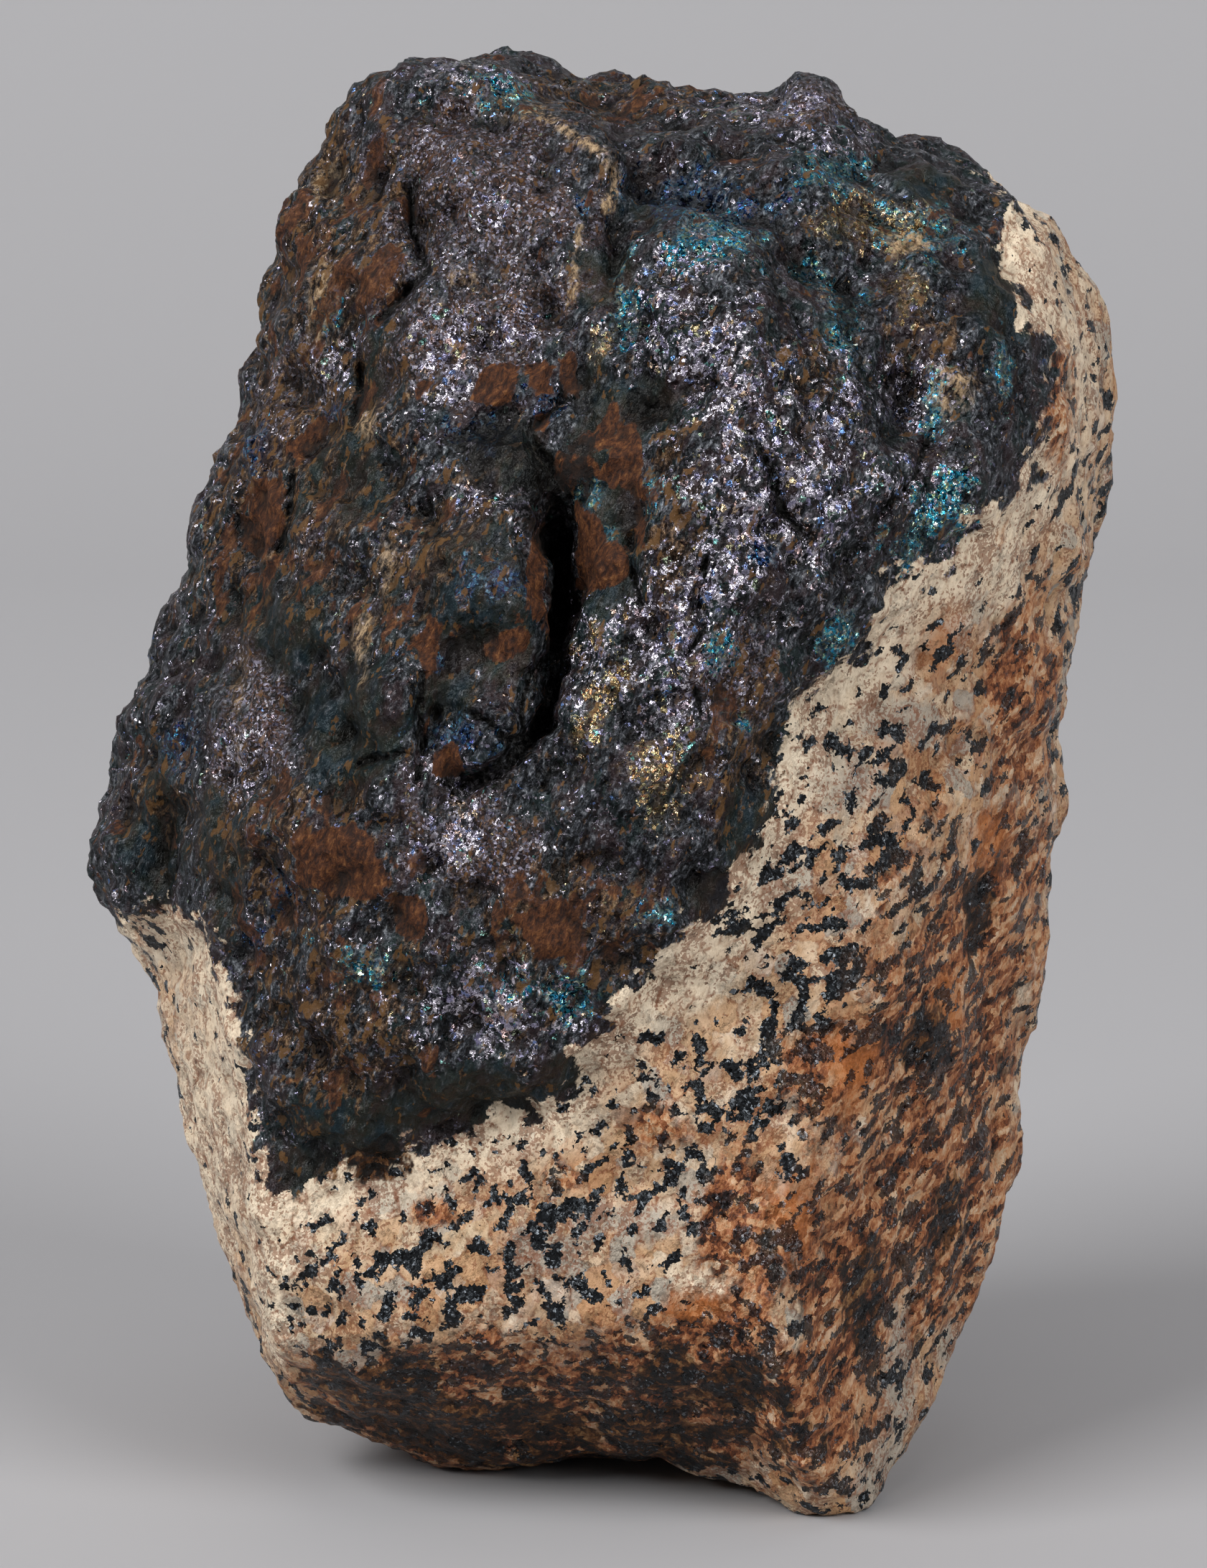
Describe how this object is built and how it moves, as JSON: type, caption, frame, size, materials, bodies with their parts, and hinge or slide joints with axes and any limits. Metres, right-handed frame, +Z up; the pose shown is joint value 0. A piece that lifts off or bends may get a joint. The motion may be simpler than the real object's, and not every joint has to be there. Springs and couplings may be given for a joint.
{
  "type": "peacock ore specimen",
  "caption": "Upright broken stone of dark tarnished bornite ore grown onto pale speckled host rock, resting on a small flat spot.",
  "frame": {"origin": "middle of the stone's outline, on the surface that it stands on", "axes": "+Z up along the stone's height, -Y out of the front face, +X to the right seen from the front"},
  "size_m": [0.0712, 0.0546, 0.0981],
  "materials": {
    "tarnished_ore": "rough broken ore with a dark metallic tarnish; the host rock's pale and brown areas are coloured in the visual"
  },
  "bodies": {
    "root": {"stone": "tarnished_ore"}
  },
  "joints": []
}
